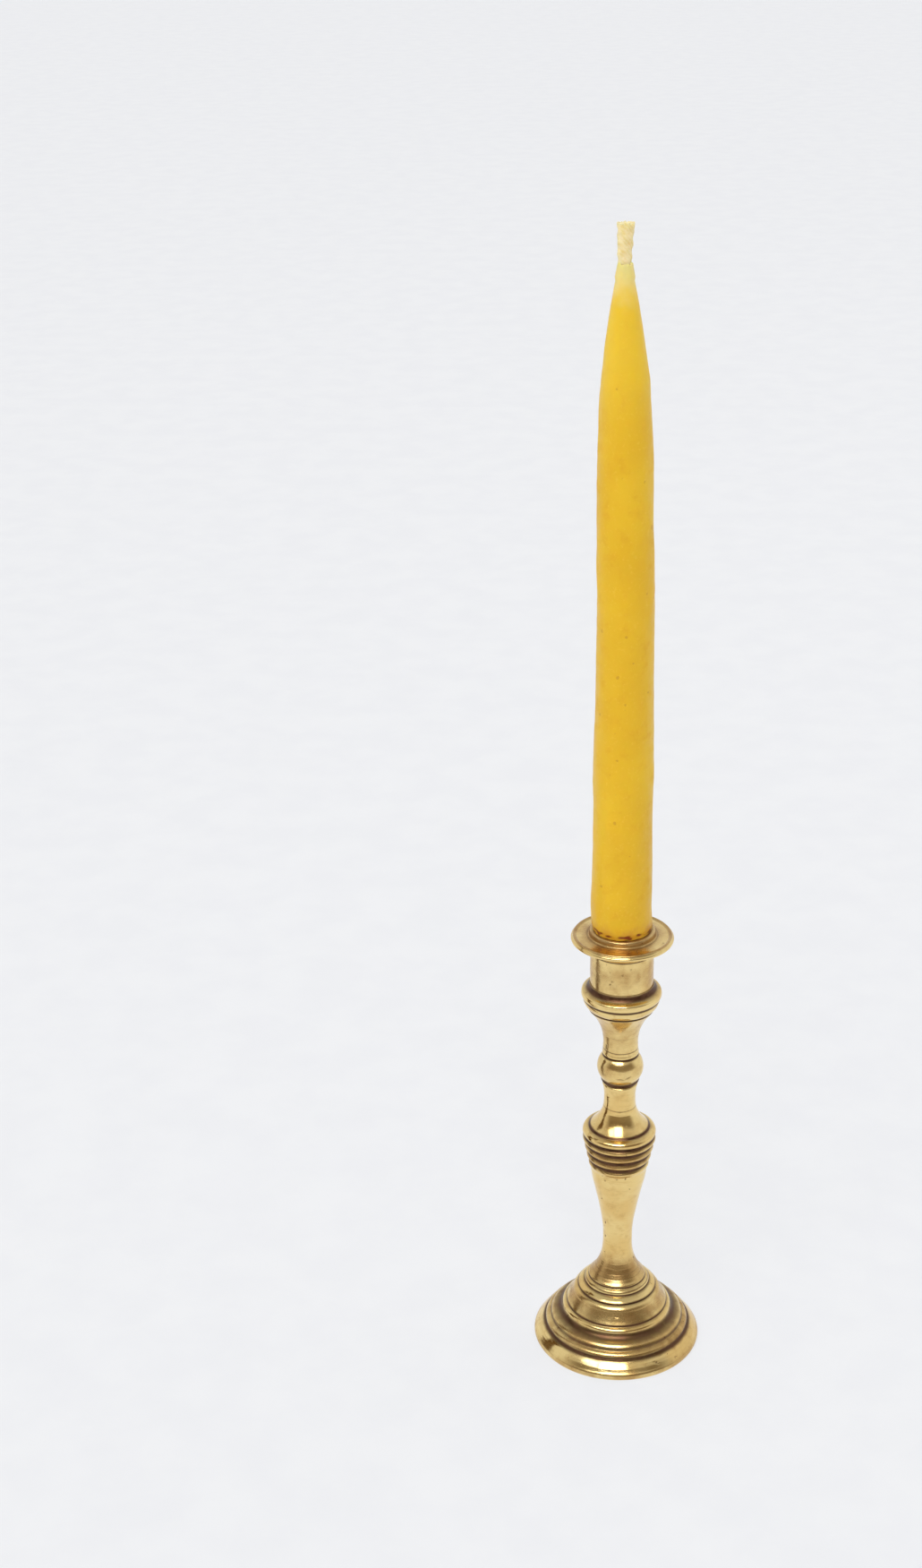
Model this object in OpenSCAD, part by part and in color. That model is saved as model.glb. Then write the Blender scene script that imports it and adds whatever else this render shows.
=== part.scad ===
// Turned brass candlestick with a hand-dipped taper candle.
// The stick is a stack of turned pieces, clamped by a tie rod between the nozzle and a nut under the foot.
// Z is up, the origin is the centre of the face that the foot stands on, and lengths are in millimetres.

/* [Foot] */
// Greatest radius of the foot
foot_r = 18.9; // [18.8:0.05:19.3]
// Radius of the open hollow under the foot, at the table
hollow_r = 16.6; // [16:0.1:17]
// Height of the hollow's ceiling, which the washer bears on
hollow_z = 9.4; // [9.2:0.1:9.6]

/* [Seams] */
// Height of the joint between foot and lower stem
foot_top_z = 13.25; // [13.2:0.02:13.3]
// Height of the joint between lower stem and upper stem
collar_z = 53.5; // [53.4:0.02:53.7]
// Height of the joint between upper stem and knop
knop_z = 66.95; // [66.9:0.01:67]
// Height of the joint between knop and neck
neck_z = 74; // [73.95:0.01:74.05]
// Height of the joint between neck and cup
cup_z = 85.8; // [85.7:0.02:85.9]

/* [Stem] */
// Least radius of the lower stem
stem_waist_r = 3.32; // [3.2:0.02:3.6]
// Least radius of the upper stem
upper_waist_r = 3.5; // [3.4:0.02:3.6]
// Radius of the knop
knop_r = 5.12; // [5:0.02:5.3]
// Least radius of the neck
neck_waist_r = 3.85; // [3.75:0.02:3.9]

/* [Nozzle and drip pan] */
// Outer radius of the nozzle tube
tube_r = 6.88; // [6.8:0.01:6.95]
// Radius of the candle socket
socket_r = 6.1; // [6.05:0.01:6.15]
// Height of the socket's floor
socket_z = 91.6; // [91.5:0.05:91.8]
// Height of the nozzle tube's shoulder, which the drip pan sits on
tube_top_z = 99.7; // [99.65:0.01:99.75]
// Greatest radius of the drip pan
pan_r = 11.1; // [11:0.05:11.5]
// Height of the drip pan's lip
pan_top_z = 103.4; // [103.3:0.02:103.5]

/* [Tie rod] */
// Radius of the M3 tie rod
rod_r = 1.5; // [1.4:0.01:1.6]
// Radial gap round the rod in the pieces that it passes through
rod_gap = 0.1; // [0.05:0.01:0.15]
// Height of the nut
nut_h = 2.4; // [2:0.1:2.6]
// Width of the nut across its flats
nut_flats = 5.5; // [5.4:0.1:6]
// Thickness of the washer
washer_h = 0.5; // [0.4:0.05:0.6]

/* [Candle] */
// Gap between the candle's butt and the socket's wall
candle_gap = 0.3; // [0.2:0.05:0.4]
// Radius of the candle just above the drip pan
candle_r = 6.72; // [6.4:0.02:6.8]
// Radius of the candle where its point begins
candle_neck_r = 5.7; // [5.4:0.05:6]
// Height at which the point begins
point_z = 200; // [190:1:205]
// Height of the wax's tip
wax_top_z = 244.5; // [240:0.5:250]
// Height of the wick's top
wick_top_z = 254.5; // [251:0.5:260]
// Radius of the wax-coated wick above the tip
wick_r = 1.55; // [1.3:0.05:1.7]

/* [Hidden] */
$fn = 96;

// Largest turn of one facet of an outline's arcs, in degrees
arc_step = 12;
// Steps along a flared or waisted stretch
flare_steps = 12;

rod_hole_r = rod_r + rod_gap;
rod_low_z = hollow_z - washer_h - nut_h - 0.7;
rod_high_z = socket_z - 0.6;
// The nozzle's solid floor stands in a seat turned in the cup
seat_z = socket_z - 4;
seat_r = tube_r + 0.03;

// Each turned piece centres on the next one by a short register
register_r = 2.4;
register_h = 1;
register_gap = 0.04;

// The end of the nozzle tube is turned down to take the drip pan
tube_end_r = tube_r - 0.35;
tube_end_h = 0.8;

// A low collar stands round the socket in the middle of the pan
pan_floor_z = pan_top_z - 0.1;
pan_collar_r = 7.2;
pan_collar_z = pan_floor_z + 1.3;

butt_r = socket_r - candle_gap;
wick_core_r = 0.7;

// Points of the arc from p to q whose middle stands sag mm off the chord.
// For an outline that runs upwards, a positive sag swells outwards and a negative one hollows it.
function arc(p, q, sag) =
    let (chord = norm(q - p),
         along = (q - p) / chord,
         out = [along[1], -along[0]],
         half = 2 * atan(2 * abs(sag) / chord),
         r = (chord * chord / 4 + sag * sag) / (2 * abs(sag)),
         centre = (p + q) / 2 - sign(sag) * (r - abs(sag)) * out,
         n = max(2, ceil(2 * half / arc_step)))
    [for (i = [0 : n]) let (a = half * (2 * i / n - 1))
        centre + r * (sin(a) * along + sign(sag) * cos(a) * out)];

// An outline through stations [radius, height, sag], where sag shapes the stretch up to the next station
function outline(s) = [for (i = [0 : len(s) - 1])
    let (p = [s[i][0], s[i][1]], last = i == len(s) - 1)
    each (last || s[i][2] == 0 ? [p]
          : let (pts = arc(p, [s[i + 1][0], s[i + 1][1]], s[i][2])) [for (k = [0 : len(pts) - 2]) pts[k]])];

// A flare from r0 at z0 to r1 at z1, where the radius leaves r0 slowly; a higher power leaves it later
function flare(r0, z0, r1, z1, power) = [for (i = [0 : flare_steps])
    let (u = i / flare_steps) [r0 + (r1 - r0) * pow(u, power), z0 + (z1 - z0) * u]];

// The same points in the opposite order
function reversed(p) = [for (i = [len(p) - 1 : -1 : 0]) p[i]];

// A ring-shaped solid of revolution between the outline and the rod's hole
module turned(points) {
    low = points[0][1];
    high = points[len(points) - 1][1];
    rotate_extrude() polygon(concat([[rod_hole_r, low]], points, [[rod_hole_r, high]]));
}

// A short ring on top of a piece, which centres the next one
module register(z) {
    translate([0, 0, z]) difference() {
        cylinder(r = register_r, h = register_h);
        translate([0, 0, -1]) cylinder(r = rod_hole_r, h = register_h + 2);
    }
}

// The matching recess in the underside of the next piece
module register_recess(z) {
    translate([0, 0, z - 1]) cylinder(r = register_r + register_gap, h = register_h + 1.1);
}

// Stepped foot: rim, two beads, a cove, a third bead and a cushion that rises to the stem
function foot_outline() = outline([
    [foot_r - 0.3, 0, 0.33],
    [foot_r - 0.4, 1.6, 0.1],
    [foot_r - 2.3, 3.75, -0.16],
    [foot_r - 2.6, 4.1, 0.22],
    [foot_r - 3.5, 5.15, -0.14],
    [foot_r - 3.8, 5.5, 0.22],
    [foot_r - 5, 6.7, -0.3],
    [foot_r - 6.55, 8.1, 0.2],
    [foot_r - 7.3, 8.95, -0.14],
    [foot_r - 7.35, 9.3, -0.06],
    [foot_r - 8.95, 11.9, 0.18],
    [foot_r - 9.95, 13.1, 0],
    [foot_r - 10.2, foot_top_z, 0]]);

// Wall of the hollow, from the table up to the ceiling round the tie rod
hollow_wall = [[hollow_r, 0], [hollow_r - 0.4, 1.6], [13.6, 4.6], [11.6, 7], [9, hollow_z - 0.3], [8, hollow_z]];

module foot() {
    color("goldenrod") {
        rotate_extrude() polygon(concat(foot_outline(), [[rod_hole_r, foot_top_z], [rod_hole_r, hollow_z]],
                                        reversed(hollow_wall)));
        register(foot_top_z);
    }
}

// Lower stem: a ring and bead on the foot, a tapering baluster, and four ribs below the collar
function lower_stem_outline() = concat(
    outline([
        [8.65, foot_top_z, 0],
        [9, foot_top_z + 0.2, 0.1],
        [7.6, 14.5, -0.13],
        [7.35, 14.8, 0.16],
        [6.8, 15.75, -0.14],
        [6.45, 16.1, 0.12],
        [6.1, 16.75, 0]]),
    reversed(flare(stem_waist_r, 26, 6.05, 16.8, 2.6)),
    baluster(27, 42.5, 6),
    outline(concat(
        [[6.18, 43.8, 0.03], [6.3, 45.1, 0], [6.38, 45.2, -0.05]],
        [for (i = [0 : 3]) each [
            [rib_r(i) - 0.16, rib_z(i) - 0.42, 0.16],
            [rib_r(i) - 0.12, rib_z(i) + 0.42, i < 3 ? -0.36 : -0.06]]],
        [[7.76, collar_z, 0]])));

// Middle height and greatest radius of each of the four ribs; coves lie between them
function rib_z(i) = 46.2 + 2.12 * i;
function rib_r(i) = 6.72 + 0.47 * i;

// The baluster's side: a hyperbola from the waist at z0 up to radius r1 at z1
baluster_bend = 5.5;
function baluster(z0, z1, r1) =
    let (swell = (r1 - stem_waist_r) / (sqrt(1 + pow((z1 - z0) / baluster_bend, 2)) - 1))
    [for (i = [0 : flare_steps])
        let (z = z0 + (z1 - z0) * i / flare_steps)
        [stem_waist_r + swell * (sqrt(1 + pow((z - z0) / baluster_bend, 2)) - 1), z]];

module lower_stem() {
    color("goldenrod") {
        difference() {
            turned(lower_stem_outline());
            register_recess(foot_top_z);
        }
        register(collar_z);
    }
}

// Upper stem: the collar bead, an incised line, the shoulder, the waist and a ring below the knop
function upper_stem_outline() = concat(
    outline([
        [7.76, collar_z, -0.06],
        [8.15, 53.95, 0.44],
        [7.1, 55.42, -0.08],
        [6.75, 55.72, 0]]),
    reversed(flare(upper_waist_r, 63.3, 6.68, 55.8, 2.8)),
    outline([
        [upper_waist_r, 63.9, -0.07],
        [3.95, 66.62, 0],
        [3.55, knop_z, 0]]));

module upper_stem() {
    color("goldenrod") {
        difference() {
            turned(upper_stem_outline());
            register_recess(collar_z);
        }
        register(knop_z);
    }
}

// Ball knop with a thin ring at its foot
module knop() {
    color("goldenrod") {
        difference() {
            turned(outline([
                [3.55, knop_z, 0],
                [3.9, knop_z + 0.15, 0.2],
                [4.15, 68, 0],
                [4.2, 68.08, knop_r - 4.05],
                [3.92, 73.8, 0],
                [3.82, neck_z, 0]]));
            register_recess(knop_z);
        }
        register(neck_z);
    }
}

// Neck: a small bead above the knop, then a bell that widens to the cup
module neck() {
    color("goldenrod") {
        difference() {
            turned(concat(
                outline([
                    [3.82, neck_z, 0],
                    [4, neck_z + 0.15, 0.08],
                    [3.94, 75, 0]]),
                flare(neck_waist_r, 76.8, 7.2, 85.4, 2.25),
                [[7.26, 85.6], [7.1, cup_z]]));
            register_recess(neck_z);
        }
        register(cup_z);
    }
}

// Cup ring: a bowl, a groove, a band, a lip bead and a cove that rises to the nozzle tube
module cup() {
    color("darkgoldenrod") difference() {
        turned(outline([
            [7.1, cup_z, 0],
            [7.4, cup_z + 0.15, 0.2],
            [8.38, 87.85, -0.14],
            [8.45, 88.2, 0.1],
            [8.8, 89.35, -0.05],
            [8.74, 89.5, 0.16],
            [8.2, 90.1, -0.32],
            [tube_r + 0.12, 91.7, 0]]));
        register_recess(cup_z);
        translate([0, 0, seat_z]) cylinder(r = seat_r, h = 10);
    }
}

// Nozzle: a tube with a thick floor that the tie rod screws into, turned down at its top for the drip pan
module nozzle() {
    color("goldenrod") difference() {
        union() {
            translate([0, 0, seat_z]) cylinder(r = tube_r, h = tube_top_z - seat_z);
            translate([0, 0, tube_top_z - 1]) cylinder(r = tube_end_r, h = tube_end_h + 1);
        }
        translate([0, 0, socket_z]) cylinder(r = socket_r, h = 20);
        translate([0, 0, seat_z - 1]) cylinder(r = rod_r, h = rod_high_z - seat_z + 1);
    }
}

// Drip pan: a disc with a rolled lip of two beads and a collar round the candle, seated on the nozzle tube
module drip_pan() {
    color("gold") rotate_extrude() polygon(concat(
        [[tube_end_r, tube_top_z]],
        outline([
            [tube_r + 0.25, tube_top_z, -0.25],
            [pan_r - 0.75, pan_top_z - 1.45, 0],
            [pan_r - 0.5, pan_top_z - 1.42, 0.4],
            [pan_r - 0.28, pan_top_z - 0.52, -0.06],
            [pan_r - 0.38, pan_top_z - 0.42, 0.24],
            [pan_r - 0.95, pan_top_z - 0.2, -0.06],
            [pan_r - 1.35, pan_top_z - 0.4, -0.08],
            [pan_collar_r + 0.15, pan_floor_z, 0],
            [pan_collar_r, pan_floor_z + 0.1, 0],
            [pan_collar_r - 0.1, pan_collar_z - 0.35, 0.08],
            [pan_collar_r - 0.45, pan_collar_z, 0]]),
        [[socket_r, pan_collar_z], [socket_r, tube_top_z + tube_end_h],
         [tube_end_r, tube_top_z + tube_end_h]]));
}

// Threaded tie rod, drawn at its nominal diameter
module tie_rod() {
    color("silver") translate([0, 0, rod_low_z]) cylinder(r = rod_r, h = rod_high_z - rod_low_z);
}

module washer() {
    color("silver") translate([0, 0, hollow_z - washer_h]) difference() {
        cylinder(r = 2.3 * rod_r, h = washer_h);
        translate([0, 0, -1]) cylinder(r = rod_hole_r, h = washer_h + 2);
    }
}

// Hexagon nut with its corners turned off at both ends
module nut() {
    corner_r = nut_flats / 2 / cos(30);
    chamfer = 0.3;
    color("silver") translate([0, 0, hollow_z - washer_h - nut_h]) difference() {
        intersection() {
            cylinder(r = corner_r, h = nut_h, $fn = 6);
            rotate_extrude() polygon([[0, 0], [corner_r - chamfer, 0], [corner_r + 0.05, chamfer * 0.6],
                                      [corner_r + 0.05, nut_h - chamfer * 0.6], [corner_r - chamfer, nut_h],
                                      [0, nut_h]]);
        }
        translate([0, 0, -1]) cylinder(r = rod_r, h = nut_h + 2);
    }
}

// Side of the candle's point, from where it begins up to the wick
function candle_point() = [for (i = [0 : flare_steps])
    let (u = i / flare_steps)
    [wick_r + 0.1 + (candle_neck_r - wick_r - 0.1) * (1 - pow(u, 2.4)),
     point_z + (wax_top_z - point_z) * u]];

// Beeswax taper: a butt trimmed to fit the socket, a shoulder over the pan's collar, and a long pointed body
module candle_wax() {
    shoulder_z = pan_collar_z + candle_gap / 2;
    color("orange") rotate_extrude() polygon(concat(
        [[wick_core_r, socket_z], [butt_r - 0.3, socket_z], [butt_r, socket_z + 0.4], [butt_r, shoulder_z]],
        [[candle_r - 0.25, shoulder_z], [candle_r, shoulder_z + 0.5]],
        candle_point(),
        [[wick_core_r, wax_top_z]]));
}

// Cotton wick: a core through the whole candle, and the wax-coated end above its tip
module wick() {
    color("cornsilk") rotate_extrude() polygon(concat(
        [[0, socket_z], [wick_core_r, socket_z], [wick_core_r, wax_top_z]],
        outline([
            [wick_r, wax_top_z, 0],
            [wick_r, wick_top_z - 0.9, 0.3],
            [0, wick_top_z, 0]])));
}

foot();
lower_stem();
upper_stem();
knop();
neck();
cup();
nozzle();
drip_pan();
tie_rod();
washer();
nut();
candle_wax();
wick();
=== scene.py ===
"""Looks of a turned brass candlestick with a hand-dipped beeswax taper.

Every brass piece is turned again here as a fine lathe mesh on the outline of its CAD node, with worn edges,
fine turning lines, small dents, a patina that follows the grooves, and painted shade and painted dark
reflections in its colour. The candle and its wick are sculpted meshes that ride on the candle body. The rod,
washer and nut are the CAD nodes with a steel material.
Lengths are in millimetres until a mesh is written, and in metres in the materials and the studio.
Azimuth 0 is the camera's side, -Y.
"""

import math

import bmesh
import bpy
import numpy as np
from mathutils import Matrix, Vector, noise


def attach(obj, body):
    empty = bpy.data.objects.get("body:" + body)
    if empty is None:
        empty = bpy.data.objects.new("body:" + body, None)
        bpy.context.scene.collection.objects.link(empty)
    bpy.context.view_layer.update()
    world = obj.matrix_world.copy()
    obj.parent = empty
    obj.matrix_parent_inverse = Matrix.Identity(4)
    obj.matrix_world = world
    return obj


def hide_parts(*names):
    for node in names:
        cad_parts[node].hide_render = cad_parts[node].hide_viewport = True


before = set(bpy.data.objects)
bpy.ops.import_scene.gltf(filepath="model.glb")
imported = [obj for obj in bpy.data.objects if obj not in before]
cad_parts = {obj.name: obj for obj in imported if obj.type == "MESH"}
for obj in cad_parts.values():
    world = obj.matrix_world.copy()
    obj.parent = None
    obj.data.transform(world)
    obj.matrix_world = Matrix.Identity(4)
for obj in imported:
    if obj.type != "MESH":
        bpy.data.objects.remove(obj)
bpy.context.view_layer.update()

MM = 0.001
TAU = math.tau

# The main sizes of the design
FOOT_R, HOLLOW_R, HOLLOW_Z = 18.9, 16.6, 9.4
FOOT_TOP_Z, COLLAR_Z, KNOP_Z, NECK_Z, CUP_Z = 13.25, 53.5, 66.95, 74.0, 85.8
STEM_WAIST_R, UPPER_WAIST_R, KNOP_R, NECK_WAIST_R = 3.32, 3.5, 5.12, 3.85
TUBE_R, SOCKET_R, SOCKET_Z, CUP_TOP_Z, TUBE_TOP_Z = 6.88, 6.1, 91.6, 91.7, 99.7
PAN_R, PAN_TOP_Z = 11.1, 103.4
ROD_R, ROD_HOLE_R = 1.5, 1.6
SEAT_Z, SEAT_R, ROD_HIGH_Z = SOCKET_Z - 4, TUBE_R + 0.03, SOCKET_Z - 0.6
TUBE_END_R, TUBE_END_H = TUBE_R - 0.35, 0.8
PAN_FLOOR_Z, PAN_COLLAR_R = PAN_TOP_Z - 0.1, 7.2
PAN_COLLAR_Z = PAN_FLOOR_Z + 1.3
CANDLE_R, CANDLE_MID_R, CANDLE_NECK_R, TIP_R, BUTT_R = 6.57, 6.02, 5.7, 1.62, 5.8
CANDLE_LOW_Z, POINT_Z, WAX_TOP_Z, WICK_TOP_Z = PAN_COLLAR_Z + 0.15, 200.0, 244.5, 254.5
CANDLE_MID_Z = CANDLE_LOW_Z + 60
# The candle stands a little to the left, and bends further left above BEND_Z
STAND_SHIFT, BEND_SHIFT, BEND_Z, BEND_H = -0.3, -1.3, 166, 80

# How finely the brass is meshed and how far its edges are worn
OUTLINE_STEP, WEAR_ROUNDS = 0.11, 2
SEGMENTS = {"foot": 240, "lower_stem": 144, "upper_stem": 144, "knop": 112, "neck": 128, "cup": 160,
            "nozzle": 144, "drip_pan": 192}
# The hand-finished surface waves about a mean that lies inside the clean outline, and marks are sunk below it
FINISH_LOSS, MARK_DEPTH = 0.02, 0.04


# ---------------------------------------------------------------- outlines

def arc(p, q, sag, step=6.0):
    """Points of the arc from p to q whose middle stands sag off the chord; outwards when positive."""
    p, q = np.array(p, float), np.array(q, float)
    chord = np.linalg.norm(q - p)
    along = (q - p) / chord
    out = np.array([along[1], -along[0]])
    half = 2 * math.atan(2 * abs(sag) / chord)
    r = (chord * chord / 4 + sag * sag) / (2 * abs(sag))
    side = math.copysign(1, sag)
    centre = (p + q) / 2 - side * (r - abs(sag)) * out
    count = max(3, math.ceil(math.degrees(2 * half) / step))
    turns = [half * (2 * i / count - 1) for i in range(count + 1)]
    return [centre + r * (math.sin(a) * along + side * math.cos(a) * out) for a in turns]


def outline(stations):
    """Points through stations (radius, height, sag), where sag shapes the stretch up to the next one."""
    points = []
    for (r, z, sag), after in zip(stations, stations[1:] + [None]):
        if after is None or sag == 0:
            points.append((r, z))
        else:
            points += arc((r, z), after[:2], sag)[:-1]
    return [tuple(map(float, p)) for p in points]


def flare(r0, z0, r1, z1, power, steps=28):
    """A flare from r0 to r1 that leaves r0 slowly; a higher power leaves it later."""
    return [(r0 + (r1 - r0) * (i / steps) ** power, z0 + (z1 - z0) * i / steps) for i in range(steps + 1)]


def baluster(z0, z1, r1, bend=5.5, steps=28):
    """A hyperbola from the stem's waist at z0 up to radius r1 at z1."""
    def rise(z):
        return math.sqrt(1 + ((z - z0) / bend) ** 2) - 1
    swell = (r1 - STEM_WAIST_R) / rise(z1)
    heights = [z0 + (z1 - z0) * i / steps for i in range(steps + 1)]
    return [(STEM_WAIST_R + swell * rise(z), z) for z in heights]


def rib(i):
    """Stations of one of the four ribs below the collar, with the cove above it."""
    r, z = 6.72 + 0.47 * i, 46.2 + 2.12 * i
    return [(r - 0.16, z - 0.42, 0.16), (r - 0.12, z + 0.42, -0.36 if i < 3 else -0.06)]


OUTER = {
    "foot": outline([
        (FOOT_R - 0.3, 0, 0.33), (FOOT_R - 0.4, 1.6, 0.1), (FOOT_R - 2.3, 3.75, -0.16),
        (FOOT_R - 2.6, 4.1, 0.22), (FOOT_R - 3.5, 5.15, -0.14), (FOOT_R - 3.8, 5.5, 0.22),
        (FOOT_R - 5, 6.7, -0.3), (FOOT_R - 6.55, 8.1, 0.2), (FOOT_R - 7.3, 8.95, -0.14),
        (FOOT_R - 7.35, 9.3, -0.06), (FOOT_R - 8.95, 11.9, 0.18), (FOOT_R - 9.95, 13.1, 0),
        (FOOT_R - 10.2, FOOT_TOP_Z, 0)]),
    "lower_stem": outline([
        (8.65, FOOT_TOP_Z, 0), (9, FOOT_TOP_Z + 0.2, 0.1), (7.6, 14.5, -0.13), (7.35, 14.8, 0.16),
        (6.8, 15.75, -0.14), (6.45, 16.1, 0.12), (6.1, 16.75, 0)])
        + flare(STEM_WAIST_R, 26, 6.05, 16.8, 2.6)[::-1] + baluster(27, 42.5, 6)
        + outline([(6.18, 43.8, 0.03), (6.3, 45.1, 0), (6.38, 45.2, -0.05)]
                  + rib(0) + rib(1) + rib(2) + rib(3) + [(7.76, COLLAR_Z, 0)]),
    "upper_stem": outline([
        (7.76, COLLAR_Z, -0.06), (8.15, 53.95, 0.44), (7.1, 55.42, -0.08), (6.75, 55.72, 0)])
        + flare(UPPER_WAIST_R, 63.3, 6.68, 55.8, 2.8)[::-1]
        + outline([(UPPER_WAIST_R, 63.9, -0.07), (3.95, 66.62, 0), (3.55, KNOP_Z, 0)]),
    "knop": outline([
        (3.55, KNOP_Z, 0), (3.9, KNOP_Z + 0.15, 0.2), (4.15, 68, 0), (4.2, 68.08, KNOP_R - 4.05),
        (3.92, 73.8, 0), (3.82, NECK_Z, 0)]),
    "neck": outline([(3.82, NECK_Z, 0), (4, NECK_Z + 0.15, 0.08), (3.94, 75, 0)])
        + flare(NECK_WAIST_R, 76.8, 7.2, 85.4, 2.25) + [(7.26, 85.6), (7.1, CUP_Z)],
    "cup": outline([
        (7.1, CUP_Z, 0), (7.4, CUP_Z + 0.15, 0.2), (8.38, 87.85, -0.14), (8.45, 88.2, 0.1),
        (8.8, 89.35, -0.05), (8.74, 89.5, 0.16), (8.2, 90.1, -0.32), (TUBE_R + 0.12, CUP_TOP_Z, 0)]),
    "nozzle": [(TUBE_R, CUP_TOP_Z), (TUBE_R, TUBE_TOP_Z)],
    "drip_pan": outline([
        (TUBE_R + 0.25, TUBE_TOP_Z, -0.25), (PAN_R - 0.75, PAN_TOP_Z - 1.45, 0),
        (PAN_R - 0.5, PAN_TOP_Z - 1.42, 0.4), (PAN_R - 0.28, PAN_TOP_Z - 0.52, -0.06),
        (PAN_R - 0.38, PAN_TOP_Z - 0.42, 0.24), (PAN_R - 0.95, PAN_TOP_Z - 0.2, -0.06),
        (PAN_R - 1.35, PAN_TOP_Z - 0.4, -0.08), (PAN_COLLAR_R + 0.15, PAN_FLOOR_Z, 0),
        (PAN_COLLAR_R, PAN_FLOOR_Z + 0.1, 0), (PAN_COLLAR_R - 0.1, PAN_COLLAR_Z - 0.35, 0.08),
        (PAN_COLLAR_R - 0.45, PAN_COLLAR_Z, 0)]),
}

# The hidden side of each piece, from the top of its outer outline back to the bottom of it
HOLLOW_WALL = [
    (HOLLOW_R, 0), (HOLLOW_R - 0.4, 1.6), (13.6, 4.6), (11.6, 7), (9, HOLLOW_Z - 0.3), (8, HOLLOW_Z)]
INNER = {
    "foot": [(ROD_HOLE_R, FOOT_TOP_Z), (ROD_HOLE_R, HOLLOW_Z)] + HOLLOW_WALL[::-1],
    "lower_stem": [(ROD_HOLE_R, COLLAR_Z), (ROD_HOLE_R, FOOT_TOP_Z)],
    "upper_stem": [(ROD_HOLE_R, KNOP_Z), (ROD_HOLE_R, COLLAR_Z)],
    "knop": [(ROD_HOLE_R, NECK_Z), (ROD_HOLE_R, KNOP_Z)],
    "neck": [(ROD_HOLE_R, CUP_Z), (ROD_HOLE_R, NECK_Z)],
    "cup": [(SEAT_R, CUP_TOP_Z), (SEAT_R, SEAT_Z), (ROD_HOLE_R, SEAT_Z), (ROD_HOLE_R, CUP_Z)],
    "nozzle": [(TUBE_END_R, TUBE_TOP_Z), (TUBE_END_R, TUBE_TOP_Z + TUBE_END_H),
               (SOCKET_R, TUBE_TOP_Z + TUBE_END_H), (SOCKET_R, SOCKET_Z), (0, SOCKET_Z), (0, ROD_HIGH_Z),
               (ROD_R, ROD_HIGH_Z), (ROD_R, SEAT_Z), (TUBE_R, SEAT_Z)],
    "drip_pan": [(SOCKET_R, PAN_COLLAR_Z), (SOCKET_R, TUBE_TOP_Z + TUBE_END_H),
                 (TUBE_END_R, TUBE_TOP_Z + TUBE_END_H), (TUBE_END_R, TUBE_TOP_Z)],
}

# Fine lines left by the turning tool: height, depth and half-width of each
TOOL_LINES = [
    # lower flare
    (17.6, 0.03, 0.12), (18.6, 0.035, 0.12), (19.5, 0.025, 0.12), (20.6, 0.02, 0.1),
    # shoulder and waist of the upper stem
    (59.8, 0.012, 0.1), (60.9, 0.03, 0.12),
    # neck
    (74.9, 0.02, 0.08), (75.64, 0.035, 0.12), (77.2, 0.02, 0.14), (79.3, 0.025, 0.12), (80.4, 0.012, 0.1),
    # raised lines on the nozzle tube
    (94.8, -0.01, 0.1), (96.4, -0.015, 0.1)]

# Bands of dark patina in the grooves, and of painted shade: middle height, half-height and strength
PATINA_AND_SHADE = [
    # foot
    # the band at 10.3 is a painted dark reflection on the lower half of the cushion
    (3.95, 0.62, 0.9), (5.6, 0.5, 0.75), (7.3, 1, 0.85), (9.3, 0.38, 0.9), (10.3, 0.9, 0.3), (13.4, 0.36, 1),
    # beads and lines below the lower flare
    (14.72, 0.32, 0.9), (15.45, 0.16, 0.6), (16.1, 0.3, 0.9), (17.6, 0.14, 0.4), (18.6, 0.14, 0.45),
    # between the ribs, under the collar and above it
    (47.26, 0.72, 0.95), (49.42, 0.7, 1), (51.6, 0.74, 1), (53.5, 0.68, 1), (55.75, 0.34, 1),
    (60.9, 0.12, 0.6),
    # knop and neck
    (67.5, 0.75, 1), (74.0, 0.4, 1), (74.9, 0.1, 0.35), (75.64, 0.15, 0.7), (79.3, 0.12, 0.4),
    # cup ring, and the joint of tube and drip pan, whose band is painted shadow under the pan
    (85.8, 0.38, 0.95), (88.2, 0.42, 0.95), (90.95, 0.85, 1), (99.65, 0.34, 0.9)]
# The same on top of the drip pan, by radius; the pan's underside lies below PAN_SPLIT_Z
PAN_PATINA = [(PAN_COLLAR_R + 0.4, 0.3, 0.45), (PAN_R - 1.1, 0.14, 0.4)]
PAN_SPLIT_Z = PAN_TOP_Z - 1

# Wider zones where the polish has gone brown: middle height, half-height and strength
TARNISH = [
    # foot and lower flare
    (0.8, 0.9, 0.55), (4.9, 0.7, 0.5), (6.3, 0.6, 0.35), (11.4, 1.7, 0.6), (19, 3.2, 0.75),
    # ribs, shoulder, knop and neck
    (49.4, 3.7, 0.5), (57.2, 1.6, 0.1), (71, 2.6, 0.38), (80, 5.6, 0.45),
    # cup ring, tube, and the floor and collar of the drip pan
    (87, 1.2, 0.15), (95.5, 4.2, 0.5), (PAN_FLOOR_Z, 0.3, 0.75), (104, 0.8, 0.95)]
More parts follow.
